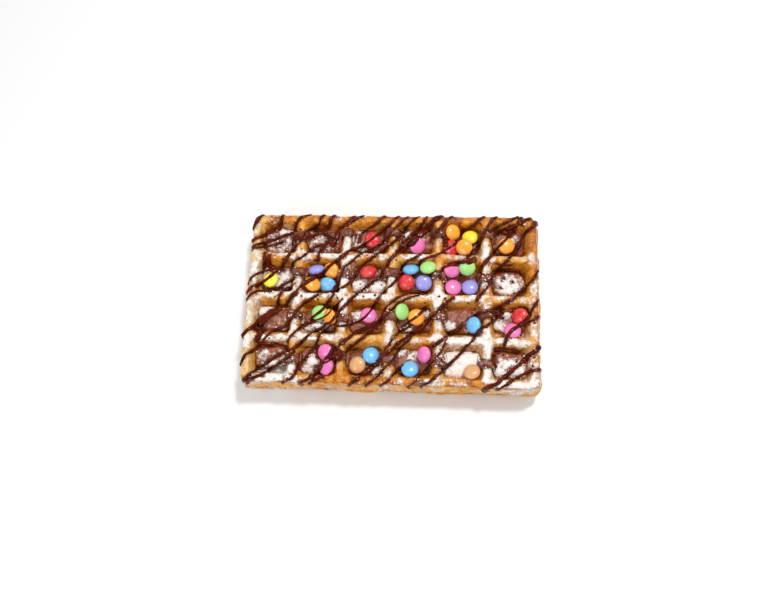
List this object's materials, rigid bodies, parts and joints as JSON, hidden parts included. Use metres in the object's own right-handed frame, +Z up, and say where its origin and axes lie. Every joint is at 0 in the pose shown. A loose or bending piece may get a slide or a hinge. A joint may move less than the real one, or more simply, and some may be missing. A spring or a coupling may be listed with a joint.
{
  "type": "belgian waffle",
  "caption": "Thick rectangular waffle with square pockets on both faces, bands of chocolate spread, coloured sugar-shell lentils and dark chocolate sauce in slanting strands.",
  "frame": {"origin": "on the plane that the waffle rests on, under the crossing of its two middle ridges", "axes": "+X along the longer side from the first column of pockets to the last, +Y across towards the first row of spread, +Z up through the topped face"},
  "size_m": [0.1749, 0.1078, 0.0335],
  "materials": {
    "waffle_crust": "baked golden-brown crust, dusted with fine white sugar",
    "chocolate_spread": "dull dark brown spread, dusted with fine white sugar",
    "shell_red": "half-glossy red sugar shell",
    "shell_orange": "half-glossy orange sugar shell",
    "shell_yellow": "half-glossy yellow sugar shell",
    "shell_green": "half-glossy green sugar shell",
    "shell_blue": "half-glossy blue sugar shell",
    "shell_purple": "half-glossy purple sugar shell",
    "shell_pink": "half-glossy pink sugar shell",
    "shell_tan": "half-glossy tan sugar shell"
  },
  "bodies": {
    "root": {"waffle": "waffle_crust", "spread_row_1": "chocolate_spread", "spread_row_2": "chocolate_spread", "spread_row_3": "chocolate_spread", "spread_row_4": "chocolate_spread", "lentil_01_red": "shell_red", "lentil_02_pink": "shell_pink", "lentil_03_red": "shell_red", "lentil_04_orange": "shell_orange", "lentil_05_yellow": "shell_yellow", "lentil_06_orange": "shell_orange", "lentil_07_orange": "shell_orange", "lentil_08_yellow": "shell_yellow", "lentil_09_purple": "shell_purple", "lentil_10_blue": "shell_blue", "lentil_11_orange": "shell_orange", "lentil_12_orange": "shell_orange", "lentil_13_red": "shell_red", "lentil_14_purple": "shell_purple", "lentil_15_red": "shell_red", "lentil_16_green": "shell_green", "lentil_17_blue": "shell_blue", "lentil_18_pink": "shell_pink", "lentil_19_purple": "shell_purple", "lentil_20_pink": "shell_pink", "lentil_21_green": "shell_green", "lentil_22_green": "shell_green", "lentil_23_orange": "shell_orange", "lentil_24_pink": "shell_pink", "lentil_25_orange": "shell_orange", "lentil_26_green": "shell_green", "lentil_27_blue": "shell_blue", "lentil_28_red": "shell_red", "lentil_29_pink": "shell_pink", "lentil_30_pink": "shell_pink", "lentil_31_pink": "shell_pink", "lentil_32_blue": "shell_blue", "lentil_33_tan": "shell_tan", "lentil_34_pink": "shell_pink", "lentil_35_blue": "shell_blue", "lentil_36_tan": "shell_tan"}
  },
  "joints": []
}
